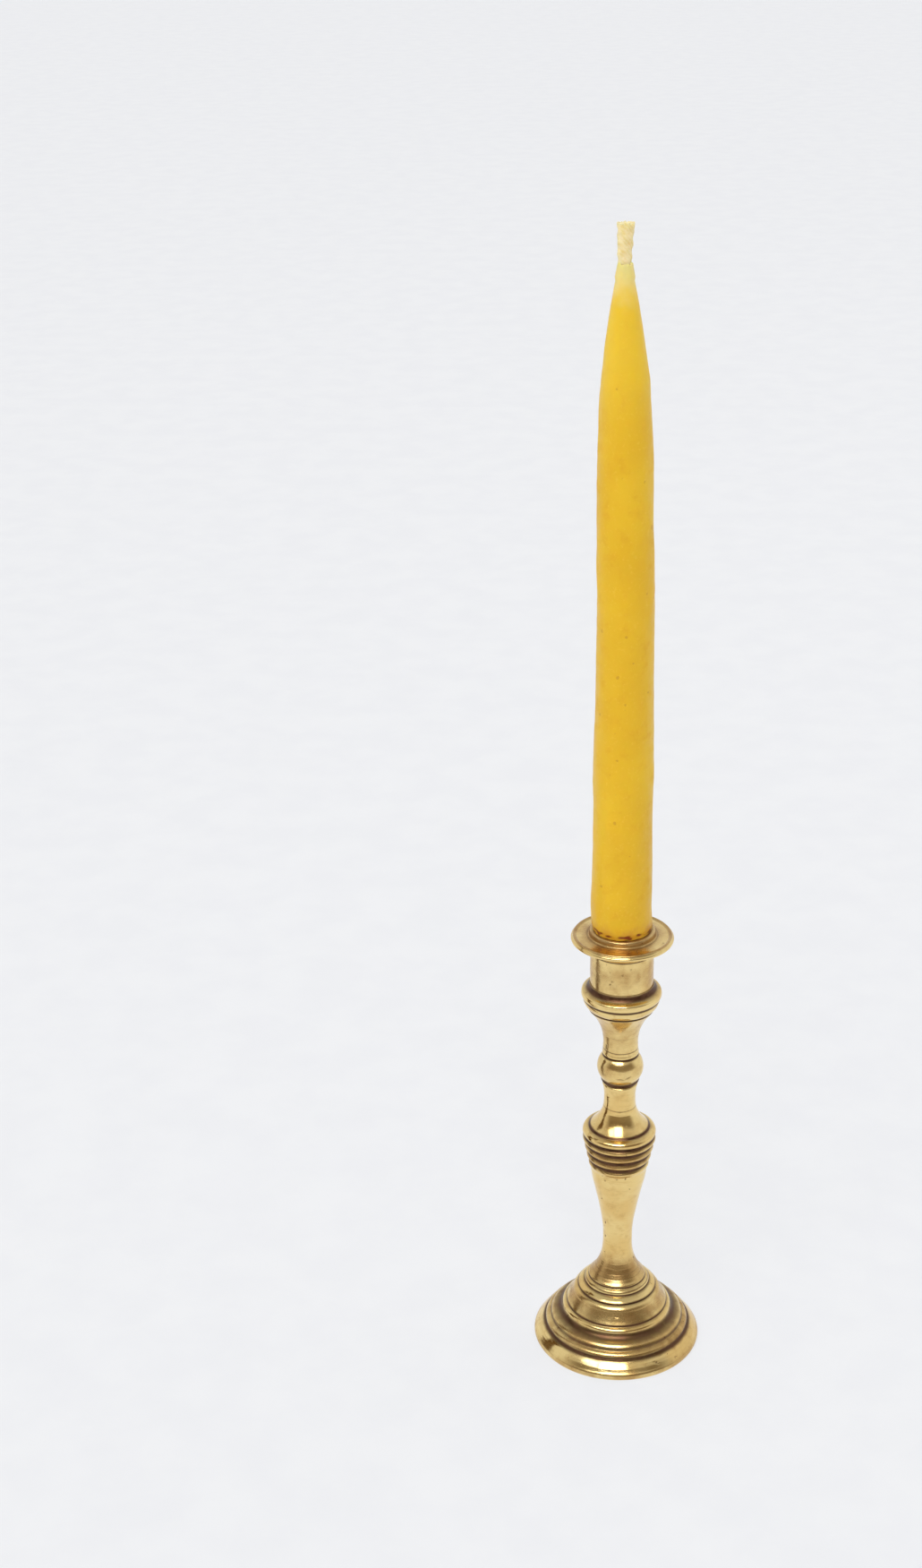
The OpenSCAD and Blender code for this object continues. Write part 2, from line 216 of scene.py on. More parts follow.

# Marks in the casting, with painted dark reflections at azimuth -54 to -66: azimuth in degrees, height,
# half-length round, half-height, slant, darkness
MARKS_AND_REFLECTIONS = [
    # front and sides of the foot
    (-66, 7.75, 0.35, 0.2, 0, 0.6), (-64, 5.7, 0.7, 0.18, 0.25, 0.6), (-56, 13.8, 0.5, 0.14, 0, 0.8),
    (-9, 1.8, 0.25, 0.2, 0, 0.7), (-3, 11.2, 0.28, 0.22, 0, 0.8), (11, 8.6, 0.1, 0.45, 0, 0.8),
    (27, 2.5, 0.6, 0.18, -0.4, 0.75), (31, 3.7, 1.6, 0.3, 0, 0.35), (44, 1.95, 0.5, 0.12, 0, 0.5),
    (50, 4.6, 2.2, 0.5, 0, 0.3),
    # front and sides of the stem
    (-60, 27.1, 0.2, 0.4, 0, 0.7), (-54, 31.1, 0.2, 0.4, 0, 0.8), (70, 20.9, 0.2, 0.4, 0, 0.8),
    (-38, 46.45, 1.0, 0.14, -0.2, 0.9), (-32, 44.2, 0.16, 0.25, 0, 0.7), (-8, 44.9, 0.14, 0.2, 0, 0.45),
    (10, 45.1, 0.16, 0.3, 0, 0.8), (-46, 55.2, 0.8, 0.14, 0, 0.7),
    # front and sides of the knop, neck, tube and pan
    (-4, 69.9, 0.9, 0.2, -0.2, 0.5), (16, 70.2, 0.7, 0.25, 0.3, 0.55), (-58, 76.5, 0.22, 0.7, 0, 0.6),
    (-22, 94.9, 0.3, 0.3, 0, 0.4), (-3, 96.6, 0.25, 0.35, 0, 0.5), (12, 98, 0.2, 0.3, 0, 0.35),
    (-56, 102.7, 0.4, 0.2, 0, 0.7),
    # back, foot to cup
    (-150, 2.4, 0.8, 0.3, 0.2, 0.7), (140, 3.1, 1.4, 0.3, 0.1, 0.6), (168, 7.4, 0.6, 0.25, 0, 0.8),
    (112, 10.8, 0.9, 0.25, 0.2, 0.7), (-118, 11.9, 0.7, 0.2, 0, 0.8), (96, 33.5, 0.2, 0.4, 0, 0.7),
    (-165, 40.2, 0.25, 0.35, 0, 0.7), (152, 88.9, 0.6, 0.15, 0, 0.7)]


def resample(points, step):
    """The same polyline with points about step apart and its two ends kept."""
    p = np.array(points, float)
    length = np.r_[0, np.cumsum(np.hypot(*np.diff(p, axis=0).T))]
    count = max(2, math.ceil(length[-1] / step))
    at = np.linspace(0, length[-1], count + 1)
    return np.c_[np.interp(at, length, p[:, 0]), np.interp(at, length, p[:, 1])]


def relax(p, rounds):
    """Wears the edges of an outline down a little, with its two ends kept."""
    for _ in range(rounds):
        p = np.r_[p[:1], (p[:-2] + 2 * p[1:-1] + p[2:]) / 4, p[-1:]]
    return p


def bands(table, at):
    """Strength of a table of bands (middle, half-width, strength) at each place."""
    total = np.zeros_like(at)
    for middle, half, strength in table:
        total = np.maximum(total, strength * np.exp(-np.abs((at - middle) / half) ** 2.4))
    return total


turned = {name: relax(resample(points, OUTLINE_STEP), WEAR_ROUNDS) for name, points in OUTER.items()}


# ---------------------------------------------------------------- meshes

def write_mesh(name, verts, faces, values, sharp_angle=50):
    """A smooth-shaded object from vertices in millimetres; values are point attributes."""
    mesh = bpy.data.meshes.new(name)
    mesh.from_pydata((np.asarray(verts) * MM).tolist(), [], faces)
    mesh.update()
    for key, data in values.items():
        layer = mesh.attributes.new(key, "FLOAT", "POINT")
        layer.data.foreach_set("value", np.asarray(data, np.float32))
    mesh.shade_smooth()
    mesh.set_sharp_from_angle(angle=math.radians(sharp_angle))
    obj = bpy.data.objects.new(name, mesh)
    bpy.context.scene.collection.objects.link(obj)
    return obj


def grid_faces(rows, cols):
    """Quads of a grid of rows that closes round its columns."""
    return [(i * cols + j, i * cols + (j + 1) % cols, (i + 1) * cols + (j + 1) % cols, (i + 1) * cols + j)
            for i in range(rows - 1) for j in range(cols)]


def closing_faces(rows, cols):
    """Quads that join the last row of such a grid to its first one."""
    last = (rows - 1) * cols
    return [(last + j, last + (j + 1) % cols, (j + 1) % cols, j) for j in range(cols)]


def ring(theta, r, z, place=0.0, flat=1.0):
    """A row of vertices at radius r and height z, shifted sideways to place and flattened front to back."""
    return np.c_[r * np.sin(theta) + place, -r * flat * np.cos(theta), np.full(len(theta), z)]


def noise_round(theta, scale, height):
    """Noise on a circle: one value for each azimuth, the finer the larger scale is."""
    return np.array([noise.noise(Vector((math.cos(t) * scale, math.sin(t) * scale, height))) for t in theta])


def wobble(theta, z):
    """Unevenness of hand finishing, in millimetres: long, shallow waves round and along the piece."""
    return (0.012 * np.sin(2 * theta + 0.35 * z + 1.1) + 0.009 * np.sin(3 * theta - 0.8 * z)
            + 0.006 * np.sin(5 * theta + 1.7 * z + 0.4) + 0.004 * np.sin(9 * theta - 2.3 * z + 2.0))


def mark_and_reflection_field(theta, r, z):
    """Darkness of the casting marks and of the painted dark reflections at points on the brass, from 0 to 1.
    """
    dark = np.zeros_like(z)
    for azimuth, height, along, up, slant, strength in MARKS_AND_REFLECTIONS:
        across = ((theta - math.radians(azimuth) + math.pi) % TAU - math.pi) * r
        bent = z - height - slant * across - 0.1 * np.sin(across * 2.3 + height)
        far = (across / along) ** 2 + (bent / up) ** 2
        ragged = 1 + 0.3 * np.sin(across * 5.1 + height) * np.cos(z * 7.3)
        dark = np.maximum(dark, strength * np.clip(1.5 - 1.2 * far * ragged, 0, 1))
    return dark


def tool_cuts(z):
    """Depth of the turning tool's lines at each height."""
    cut = np.zeros_like(z)
    for height, depth, half in TOOL_LINES:
        cut += depth * np.exp(-((z - height) / half) ** 2)
    return cut


def dents(theta, r, z):
    """Small knocks on the nozzle tube, in millimetres, which fade out towards both of its ends."""
    depth = np.zeros_like(z)
    for i, (t, radius, height) in enumerate(zip(theta, r, z)):
        spot = Vector((radius * math.sin(t) * 1.3, radius * math.cos(t) * 1.3, height * 1.1))
        depth[i] = 0.016 * noise.noise(spot) + 0.01 * noise.noise(spot * 2.1)
    above, below = z - CUP_TOP_Z - 0.5, TUBE_TOP_Z - 0.5 - z
    return depth * np.clip(above / 0.8, 0, 1) * np.clip(below / 0.8, 0, 1)


def lathe(name, segments):
    """Turns one brass piece and hides its CAD node."""
    outer = turned[name]
    profile = np.concatenate([outer, np.array(INNER[name], float)])
    theta = np.arange(segments) * TAU / segments
    grid_t = np.tile(theta, len(profile))
    grid_r = np.repeat(profile[:, 0], segments)
    grid_z = np.repeat(profile[:, 1], segments)
    is_outer = np.repeat(np.arange(len(profile)) < len(outer), segments)
    dark = np.where(is_outer, mark_and_reflection_field(grid_t, grid_r, grid_z), 0)
    groove = np.where(grid_z > PAN_SPLIT_Z, bands(PAN_PATINA, grid_r), bands(PATINA_AND_SHADE, grid_z))
    groove = np.where(is_outer, groove, 0)
    moved = wobble(grid_t, grid_z) - FINISH_LOSS - tool_cuts(grid_z) - MARK_DEPTH * dark
    if name == "nozzle":
        moved += dents(grid_t, grid_r, grid_z)
    # The hidden side and both ends of the outline stay where they are
    fixed = ~is_outer
    for row in (0, len(outer) - 1):
        fixed[row * segments:(row + 1) * segments] = True
    radius = np.maximum(grid_r + np.where(fixed, 0, moved), 0)
    # Azimuth 0 faces -Y and grows towards +X
    verts = np.c_[radius * np.sin(grid_t), -radius * np.cos(grid_t), grid_z]
    faces = grid_faces(len(profile), segments) + closing_faces(len(profile), segments)
    obj = write_mesh("turned_" + name, verts, faces, {
        "recess": groove, "mark_and_reflection": dark, "tarnish": bands(TARNISH, grid_z),
        "inside": np.where(is_outer, 0, 1)})
    weld(obj)
    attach(obj, "stick")
    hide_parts(name)
    return obj


def weld(obj):
    """Joins vertices that lie on each other, such as those on the axis, and drops faces with no area."""
    bm = bmesh.new()
    bm.from_mesh(obj.data)
    bmesh.ops.remove_doubles(bm, verts=bm.verts, dist=1e-7)
    bmesh.ops.dissolve_degenerate(bm, dist=1e-8, edges=bm.edges)
    bm.normal_update()
    bm.to_mesh(obj.data)
    bm.free()
    obj.data.update()


def lean(z):
    """Sideways place of the candle's centre at a height."""
    bend = np.clip((z - BEND_Z) / BEND_H, 0, 1)
    return STAND_SHIFT * np.clip((z - CANDLE_LOW_Z) / 5, 0, 1) + BEND_SHIFT * bend ** 0.95


def wax_radius(z):
    """Mean radius of the taper at a height: slowly narrower up to the point, then round to the tip."""
    body = np.interp(z, (CANDLE_LOW_Z, CANDLE_MID_Z, POINT_Z), (CANDLE_R, CANDLE_MID_R, CANDLE_NECK_R))
    u = np.clip((z - POINT_Z) / (WAX_TOP_Z - POINT_Z), 0, 1)
    return body - (CANDLE_NECK_R - TIP_R) * u ** 2.35


def lumps(theta, z):
    """Unevenness of hand dipping at each point: slow swellings, short drips and a fine skin."""
    out = np.zeros_like(z)
    for i, (t, h) in enumerate(zip(theta, z)):
        x, y = math.cos(t), math.sin(t)
        slow = noise.noise(Vector((x * 0.8, y * 0.8, h / 17.0)))
        drip = noise.noise(Vector((x * 1.7 + 9, y * 1.7, h / 6.5)))
        skin = noise.noise(Vector((x * 4.5, y * 4.5 + 5, h / 2.2)))
        out[i] = 0.24 * slow + 0.22 * max(drip, 0) ** 1.3 + 0.04 * skin
    return out


def make_candle():
    """The dipped taper: butt in the socket, chipped lower edge, uneven sides and thin wax round the wick."""
    segments, edge_z = 112, CANDLE_LOW_Z + 4
    theta = np.arange(segments) * TAU / segments
    heights = np.concatenate([np.linspace(CANDLE_LOW_Z, edge_z, 24)[:-1],
                              np.linspace(edge_z, WAX_TOP_Z - 1.2, 250)])
    grid_t = np.tile(theta, len(heights))
    grid_z = np.repeat(heights, segments)
    fade = np.clip((WAX_TOP_Z + 2 - grid_z) / 24, 0.25, 1)
    radius = wax_radius(grid_z) + fade * (lumps(grid_t, grid_z) - 0.05)
    # The trimmed lower edge is chipped
    low = np.clip(1 - (grid_z - CANDLE_LOW_Z) / 1.3, 0, 1)
    chips = np.concatenate([noise_round(theta, 5, z * 1.4) for z in heights])
    radius -= low * (0.16 + 0.32 * np.clip(chips, 0, 1))
    sides = np.c_[radius * np.sin(grid_t) + lean(grid_z), -radius * np.cos(grid_t), grid_z]
    # The butt, from the wick's hole to the shoulder
    butt_z = SOCKET_Z + 0.02
    butt = [(0.7, butt_z), (BUTT_R - 0.3, butt_z), (BUTT_R, SOCKET_Z + 0.4),
            (BUTT_R - 0.03, (SOCKET_Z + CANDLE_LOW_Z) / 2), (BUTT_R, CANDLE_LOW_Z)]
    below = [ring(theta, r, z) for r, z in butt]
    # The wax thins out up the wick and ends in a torn edge: radius and rise of each row
    thin = [(1.98, -0.4), (1.82, 0.4), (1.68, 1.2), (1.58, 1.9), (1.44, 2.15), (1.15, 2.1)]
    above = []
    for k, (r, rise) in enumerate(thin):
        z = WAX_TOP_Z + rise + 0.22 * k * noise_round(theta, 2, 3.0 + k / 4)
        above.append(ring(theta, r, z, lean(z), 0.93))
    verts = np.concatenate(below + [sides] + above)
    rows = len(verts) // segments
    faces = grid_faces(rows, segments) + closing_faces(rows, segments)
    obj = write_mesh("dipped_candle", verts, faces, {"grime": grime_field(verts)}, 60)
    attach(obj, "candle")
    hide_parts("candle_wax")
    return obj


def grime_field(verts):
    """Strength of the brown grime in the chips just above the candle's lower edge."""
    z = verts[:, 2]
    azimuth = np.arctan2(verts[:, 0], -verts[:, 1])
    fleck = np.array([noise.noise(Vector((math.cos(a) * 4.2, math.sin(a) * 4.2 + 2, h * 1.1)))
                      for a, h in zip(azimuth, z)])
    near = np.clip(1 - np.abs(z - CANDLE_LOW_Z - 0.55) / 0.9, 0, 1)
    return np.clip((fleck + 0.62 * near - 0.55) * 5, 0, 1) * (z < CANDLE_LOW_Z + 2.4)


def make_wick():
    """A flat braid stiff with wax: narrow where it leaves the candle, wider and frayed at its cut end."""
    segments, low, high = 48, WAX_TOP_Z - 3, WICK_TOP_Z - 0.06
    core_r, core_top = 0.68, low - 0.6
    theta = np.arange(segments) * TAU / segments
    frayed = 1.1 * np.abs(noise_round(theta, 4, 8))
    # The core inside the wax
    rows = [ring(theta, 0.04, SOCKET_Z), ring(theta, core_r, SOCKET_Z), ring(theta, core_r, CANDLE_LOW_Z),
            ring(theta, core_r, core_top, lean(core_top))]
    for z in np.linspace(low, high, 90):
        u = (z - WAX_TOP_Z + 1) / (WICK_TOP_Z - WAX_TOP_Z + 1)
        half = 1.32 + 0.42 * np.clip(u, 0, 1) ** 1.5 + 0.3 * np.clip(-u * 1.5 + 0.35, 0, 1)
        flat = 0.86 - 0.16 * np.clip(u, 0, 1)
        braid = 0.055 * np.sin(3 * theta + 2.4 * z) + 0.04 * np.sin(2 * theta - 3.1 * z + 1)
        r = half * (1 + 0.06 * noise_round(theta, 1, z / 1.6)) + braid - 0.05
        place = lean(z) - 0.1 * math.sin((z - low) / 3.3)
        near_end = max(0, 1 - (high - z) / 1.4)
        rows.append(ring(theta, r, z - near_end * frayed, place, flat))
    # The cut end, from its edge to its middle
    top = rows[-1]
    centre = top.mean(0)
    for share, drop in ((0.86, 0.0), (0.6, 0.12), (0.3, 0.05), (0.04, 0.16)):
        inner = centre + (top - centre) * share
        inner[:, 2] = np.minimum(inner[:, 2] - drop, high)
        rows.append(inner)
    last = (len(rows) - 1) * segments
    faces = grid_faces(len(rows), segments)
    faces.append(tuple(range(segments))[::-1])
    faces.append(tuple(range(last, last + segments)))
    obj = write_mesh("waxed_wick", np.concatenate(rows), faces, {}, 70)
    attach(obj, "candle")
    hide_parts("wick")
    return obj


# ---------------------------------------------------------------- materials

class Net:
    """Short names for making and linking shader nodes."""

    def __init__(self, tree):
        self.tree = tree
        tree.nodes.clear()

    def put(self, socket, value):
        """Links an output to the socket, or sets the socket to a constant."""
        if isinstance(value, bpy.types.NodeSocket):
            self.tree.links.new(value, socket)
        else:
            socket.default_value = value

    def node(self, kind, inputs=None, **settings):
        """A node with its settings, and its inputs by name or number."""
        made = self.tree.nodes.new(kind)
        for key, value in settings.items():
            setattr(made, key, value)
        for key, value in (inputs or {}).items():
            self.put(made.inputs[key], value)
        return made

    def math(self, operation, a, b=0.0, clamp=False):
        return self.node("ShaderNodeMath", {0: a, 1: b}, operation=operation, use_clamp=clamp).outputs[0]

    def span(self, value, low, high, to_low=0.0, to_high=1.0):
        """A smooth step from to_low at low to to_high at high."""
        inputs = {"Value": value, "From Min": low, "From Max": high, "To Min": to_low, "To Max": to_high}
        return self.node("ShaderNodeMapRange", inputs, interpolation_type="SMOOTHSTEP").outputs[0]

    def blend(self, share, a, b, how="MIX"):
        """Colour a with a share of colour b."""
        made = self.node("ShaderNodeMix", {0: share, 6: a, 7: b}, data_type="RGBA", blend_type=how)
        return made.outputs[2]

    def clouds(self, vector, scale, detail=3.0, rough=0.55):
        inputs = {"Vector": vector, "Scale": scale, "Detail": detail, "Roughness": rough}
        return self.node("ShaderNodeTexNoise", inputs).outputs["Fac"]

    def value(self, name):
        """A point attribute of the mesh."""
        return self.node("ShaderNodeAttribute", attribute_name=name).outputs["Fac"]

    def bump(self, height, strength, distance, normal=None):
        inputs = {"Height": height, "Strength": strength, "Distance": distance}
        if normal is not None:
            inputs["Normal"] = normal
        return self.node("ShaderNodeBump", inputs).outputs[0]


def new_material(name):
    """An empty node material and its net."""
    material = bpy.data.materials.new(name)
    material.use_nodes = True
    return material, Net(material.node_tree)


def srgb(r, g, b):
    """An sRGB colour of 0 to 255 as linear values with alpha."""
    def linear(c):
        c /= 255
        return c / 12.92 if c <= 0.04045 else ((c + 0.055) / 1.055) ** 2.4
    return (linear(r), linear(g), linear(b), 1.0)


# In metres: the radius that a turn is squeezed to for noise that runs round the axis
GRAIN_R = 0.0006
# In metres: the pitch of an M3 thread
THREAD_PITCH = 0.5 * MM


def round_coordinates(net):
    """The object position, the same squeezed round the axis for marks of turning, and the height."""
    position = net.node("ShaderNodeTexCoord").outputs["Object"]
    split = net.node("ShaderNodeSeparateXYZ", {0: position}).outputs
    x2 = net.math("MULTIPLY", split[0], split[0])
    y2 = net.math("MULTIPLY", split[1], split[1])
    radius = net.math("MAXIMUM", net.math("SQRT", net.math("ADD", x2, y2)), 1e-4)
    cos = net.math("MULTIPLY", net.math("DIVIDE", split[0], radius), GRAIN_R)
    sin = net.math("MULTIPLY", net.math("DIVIDE", split[1], radius), GRAIN_R)
    across = net.math("ADD", sin, radius)
    stretched = net.node("ShaderNodeCombineXYZ", {0: cos, 1: across, 2: split[2]}).outputs[0]
    return position, stretched, split[2]


def brass_material():
    """Bright brass that is tan where it is tarnished, dark brown in its grooves, marks and pits, and darkened
    by painted shade and painted dark reflections.
    """
    material, net = new_material("aged_brass")
    position, stretched, _ = round_coordinates(net)
    recess, mark_and_reflection, inside, tarnish = (net.value(key) for key in ("recess", "mark_and_reflection", "inside", "tarnish"))

    broad = net.clouds(position, 95, 3)
    mottle = net.clouds(position, 420, 4, 0.6)
    fine = net.clouds(position, 1900, 3, 0.6)
    rings = net.clouds(stretched, 2600, 3, 0.6)
    lines = net.clouds(stretched, 7000, 2, 0.5)

    bright = net.blend(net.span(broad, 0.38, 0.66), srgb(240, 213, 146), srgb(230, 195, 124))
    bright = net.blend(net.span(mottle, 0.5, 0.8, 0, 0.45), bright, srgb(208, 168, 98))
    bright = net.blend(net.span(rings, 0.52, 0.8, 0, 0.35), bright, srgb(200, 158, 90))

    tan = net.math("ADD", tarnish, net.math("MULTIPLY", net.math("SUBTRACT", mottle, 0.5), 0.9))
    tan = net.math("ADD", tan, net.math("MULTIPLY", net.math("SUBTRACT", broad, 0.5), 0.8))
    colour = net.blend(net.span(tan, 0.0, 1.0, 0, 0.95), bright, srgb(176, 138, 86))

    # Dark patina in the grooves; these bands also paint the shadow under the drip pan and a dark reflection
    # on the foot's cushion
    groove = net.math("ADD", recess, net.math("MULTIPLY", net.math("SUBTRACT", mottle, 0.5), 0.35))
    groove = net.span(groove, 0.1, 0.95)
    patina_and_shade = net.blend(net.span(mottle, 0.35, 0.65), srgb(74, 48, 32), srgb(104, 74, 54))
    colour = net.blend(groove, colour, patina_and_shade)

    # Pits and casting marks, and the painted dark reflections among the marks, go dark brown
    pits = net.span(net.clouds(position, 1150, 2, 0.4), 0.735, 0.775)
    dark = net.math("MAXIMUM", net.math("MULTIPLY", pits, 0.6), mark_and_reflection, clamp=True)
    colour = net.blend(dark, colour, srgb(98, 62, 24))
    colour = net.blend(inside, colour, net.blend(mottle, srgb(120, 88, 50), srgb(168, 130, 78)))

    rough = net.math("ADD", 0.11, net.math("MULTIPLY", net.span(mottle, 0.4, 0.8), 0.1))
    rough = net.math("ADD", rough, net.math("MULTIPLY", net.span(lines, 0.5, 0.8), 0.06))
    rough = net.math("ADD", rough, net.math("MULTIPLY", tarnish, 0.22))
    rough = net.math("ADD", rough, net.math("MULTIPLY", groove, 0.22))
    rough = net.math("ADD", rough, net.math("MULTIPLY", dark, 0.2))
    rough = net.math("ADD", rough, net.math("MULTIPLY", inside, 0.35), clamp=True)

    scratches = net.bump(rings, 0.14, 0.00006)
    scratches = net.bump(lines, 0.08, 0.00004, scratches)
    skin = net.bump(mottle, 0.12, 0.0001, scratches)
    skin = net.bump(net.math("MULTIPLY", fine, inside), 0.5, 0.0002, skin)
    holes = net.bump(net.math("SUBTRACT", 1.0, dark), 0.35, 0.00012, skin)

    shader = net.node("ShaderNodeBsdfPrincipled", {
        "Base Color": colour, "Metallic": 1.0, "Roughness": rough, "Normal": holes})
    net.node("ShaderNodeOutputMaterial", {"Surface": shader.outputs[0]})
    return material


def steel_material():
    """Dull zinc-plated steel, with level ridges for the thread."""
    material, net = new_material("zinc_steel")
    position, stretched, height = round_coordinates(net)
    spangle = net.clouds(position, 1400, 3)
    smear = net.clouds(stretched, 3000, 3)
    colour = net.blend(net.span(spangle, 0.35, 0.7), srgb(150, 148, 142), srgb(196, 194, 188))
    colour = net.blend(net.span(smear, 0.55, 0.75, 0, 0.6), colour, srgb(112, 98, 80))
    rough = net.span(spangle, 0.3, 0.8, 0.25, 0.5)
    thread = net.math("SINE", net.math("MULTIPLY", height, TAU / THREAD_PITCH))
    relief = net.bump(thread, 0.6, 0.0001)
    relief = net.bump(spangle, 0.15, 0.00005, relief)
    shader = net.node("ShaderNodeBsdfPrincipled", {
        "Base Color": colour, "Metallic": 1.0, "Roughness": rough, "Normal": relief})
    net.node("ShaderNodeOutputMaterial", {"Surface": shader.outputs[0]})
    return material


def beeswax_material():
    """Yellow wax that lets a little light through, cloudy and grained, with a few specks and some grime."""
    material, net = new_material("beeswax")
    position = net.node("ShaderNodeTexCoord").outputs["Object"]
    height = net.node("ShaderNodeSeparateXYZ", {0: position}).outputs[2]
    broad = net.clouds(position, 60, 3)
    cloudy = net.clouds(position, 330, 4, 0.6)
    grain = net.clouds(position, 1500, 3)
    ragged_height = net.math("ADD", height, net.math("MULTIPLY", net.math("SUBTRACT", cloudy, 0.5), 0.006))

    colour = net.blend(net.span(broad, 0.35, 0.65), srgb(221, 176, 14), srgb(227, 185, 22))
    colour = net.blend(net.span(cloudy, 0.5, 0.78, 0, 0.55), colour, srgb(214, 158, 12))
    colour = net.blend(net.span(grain, 0.55, 0.75, 0, 0.4), colour, srgb(234, 196, 60))
    # Paler towards the tip, nearly white where the wax is thin, and amber at the foot of the candle
    tip_z, foot_z = WAX_TOP_Z * MM, CANDLE_LOW_Z * MM
    pale = net.span(ragged_height, tip_z - 0.0365, tip_z - 0.0105, 0, 0.55)
    whitish = net.span(ragged_height, tip_z - 0.0075, tip_z + 0.0015, 0, 0.85)
    amber = net.span(ragged_height, foot_z + 0.00345, foot_z - 0.00015, 0, 0.6)
    colour = net.blend(pale, colour, srgb(232, 200, 58))
    colour = net.blend(whitish, colour, srgb(234, 214, 142))
    colour = net.blend(amber, colour, srgb(190, 118, 36))
    specks = net.span(net.clouds(position, 620, 1, 0.3), 0.76, 0.79)
    colour = net.blend(net.math("MULTIPLY", specks, 0.4), colour, srgb(176, 112, 20))
    colour = net.blend(net.value("grime"), colour, srgb(124, 52, 16))

    rough = net.span(cloudy, 0.35, 0.75, 0.34, 0.52)
    skin = net.bump(cloudy, 0.25, 0.0003)
    skin = net.bump(grain, 0.12, 0.0001, skin)
    shader = net.node("ShaderNodeBsdfPrincipled", {
        "Base Color": colour, "Roughness": rough, "Normal": skin, "Subsurface Weight": 0.45,
        "Subsurface Scale": 0.0022, "Subsurface Radius": (1.0, 0.55, 0.12), "IOR": 1.44})
    net.node("ShaderNodeOutputMaterial", {"Surface": shader.outputs[0]})
    return material


def wick_material():
    """Twisted cotton strands under a coat of pale wax."""
    material, net = new_material("waxed_cotton")
    position = net.node("ShaderNodeTexCoord").outputs["Object"]
    height = net.node("ShaderNodeSeparateXYZ", {0: position}).outputs[2]
    strands = net.node("ShaderNodeTexWave", {
        "Vector": position, "Scale": 700, "Distortion": 4.0, "Detail": 2.0, "Detail Scale": 2.0},
        bands_direction="DIAGONAL").outputs["Fac"]
    cloudy = net.clouds(position, 700, 3)
    colour = net.blend(net.span(cloudy, 0.35, 0.7), srgb(233, 216, 162), srgb(223, 202, 132))
    colour = net.blend(net.math("MULTIPLY", strands, 0.3), colour, srgb(240, 230, 196))
    wax_z = WAX_TOP_Z * MM
    colour = net.blend(net.span(height, wax_z, wax_z + 0.0025, 0.5, 0), colour, srgb(250, 245, 225))
    relief = net.bump(strands, 0.3, 0.0001)
    relief = net.bump(cloudy, 0.2, 0.0001, relief)
    shader = net.node("ShaderNodeBsdfPrincipled", {
        "Base Color": colour, "Roughness": net.span(cloudy, 0.3, 0.7, 0.45, 0.65), "Normal": relief,
        "Subsurface Weight": 0.5, "Subsurface Scale": 0.0015, "Subsurface Radius": (1.0, 0.8, 0.4)})
    net.node("ShaderNodeOutputMaterial", {"Surface": shader.outputs[0]})
    return material


# ---------------------------------------------------------------- the object

brass, steel, beeswax, cotton = brass_material(), steel_material(), beeswax_material(), wick_material()
for piece, count in SEGMENTS.items():
    lathe(piece, count).data.materials.append(brass)
make_candle().data.materials.append(beeswax)
make_wick().data.materials.append(cotton)
for piece in ("tie_rod", "washer", "nut"):
    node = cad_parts[piece]
    if not node.material_slots:
        node.data.materials.append(steel)
    for place in node.material_slots:
        place.material = steel


# ---------------------------------------------------------------- studio

def stage_object(name, verts, faces):
    """A piece of the studio from vertices in metres, and the net of its own material."""
    mesh = bpy.data.meshes.new(name)
    mesh.from_pydata(verts, [], faces)
    obj = bpy.data.objects.new(name, mesh)
    bpy.context.scene.collection.objects.link(obj)
    material, net = new_material(name)
    mesh.materials.append(material)
    return obj, net


def make_floor():
    """A wide, pale sheet of paper with even light of its own, which is clear when it is seen from below."""
    radius, rings, spokes = 7.0, 24, 96
    verts = [(0.0, 0.0, 0.0)]
    for i in range(1, rings + 1):
        r = radius * (i / rings) ** 2.5
        turns = [TAU * j / spokes for j in range(spokes)]
        verts += [(r * math.cos(turn), r * math.sin(turn), 0.0) for turn in turns]
    faces = [(0, 1 + j, 1 + (j + 1) % spokes) for j in range(spokes)]
    for i in range(rings - 1):
        a, b = 1 + i * spokes, 1 + (i + 1) * spokes
        faces += [(a + j, b + j, b + (j + 1) % spokes, a + (j + 1) % spokes) for j in range(spokes)]
    obj, net = stage_object("studio_floor", verts, faces)
    # A hair below the foot, so that the two faces don't coincide
    obj.location.z = -0.00002
    position = net.node("ShaderNodeTexCoord").outputs["Object"]
    fibre = net.clouds(position, 60, 3)
    tint = net.blend(net.span(fibre, 0.3, 0.7), (0.84, 0.85, 0.875, 1), (0.86, 0.87, 0.89, 1))
    lit = net.node("ShaderNodeEmission", {"Color": tint, "Strength": 0.79}).outputs[0]
    plain = net.node("ShaderNodeBsdfDiffuse", {"Color": tint}).outputs[0]
    dark = net.node("ShaderNodeBsdfDiffuse", {"Color": (0.0, 0.0, 0.0, 1)}).outputs[0]
    soft = net.node("ShaderNodeMixShader", {0: 0.2, 1: dark, 2: plain}).outputs[0]
    both = net.node("ShaderNodeAddShader", {0: lit, 1: soft}).outputs[0]
    clear = net.node("ShaderNodeBsdfTransparent").outputs[0]
    below = net.node("ShaderNodeNewGeometry").outputs["Backfacing"]
    net.node("ShaderNodeOutputMaterial", {
        "Surface": net.node("ShaderNodeMixShader", {0: below, 1: both, 2: clear}).outputs[0]})


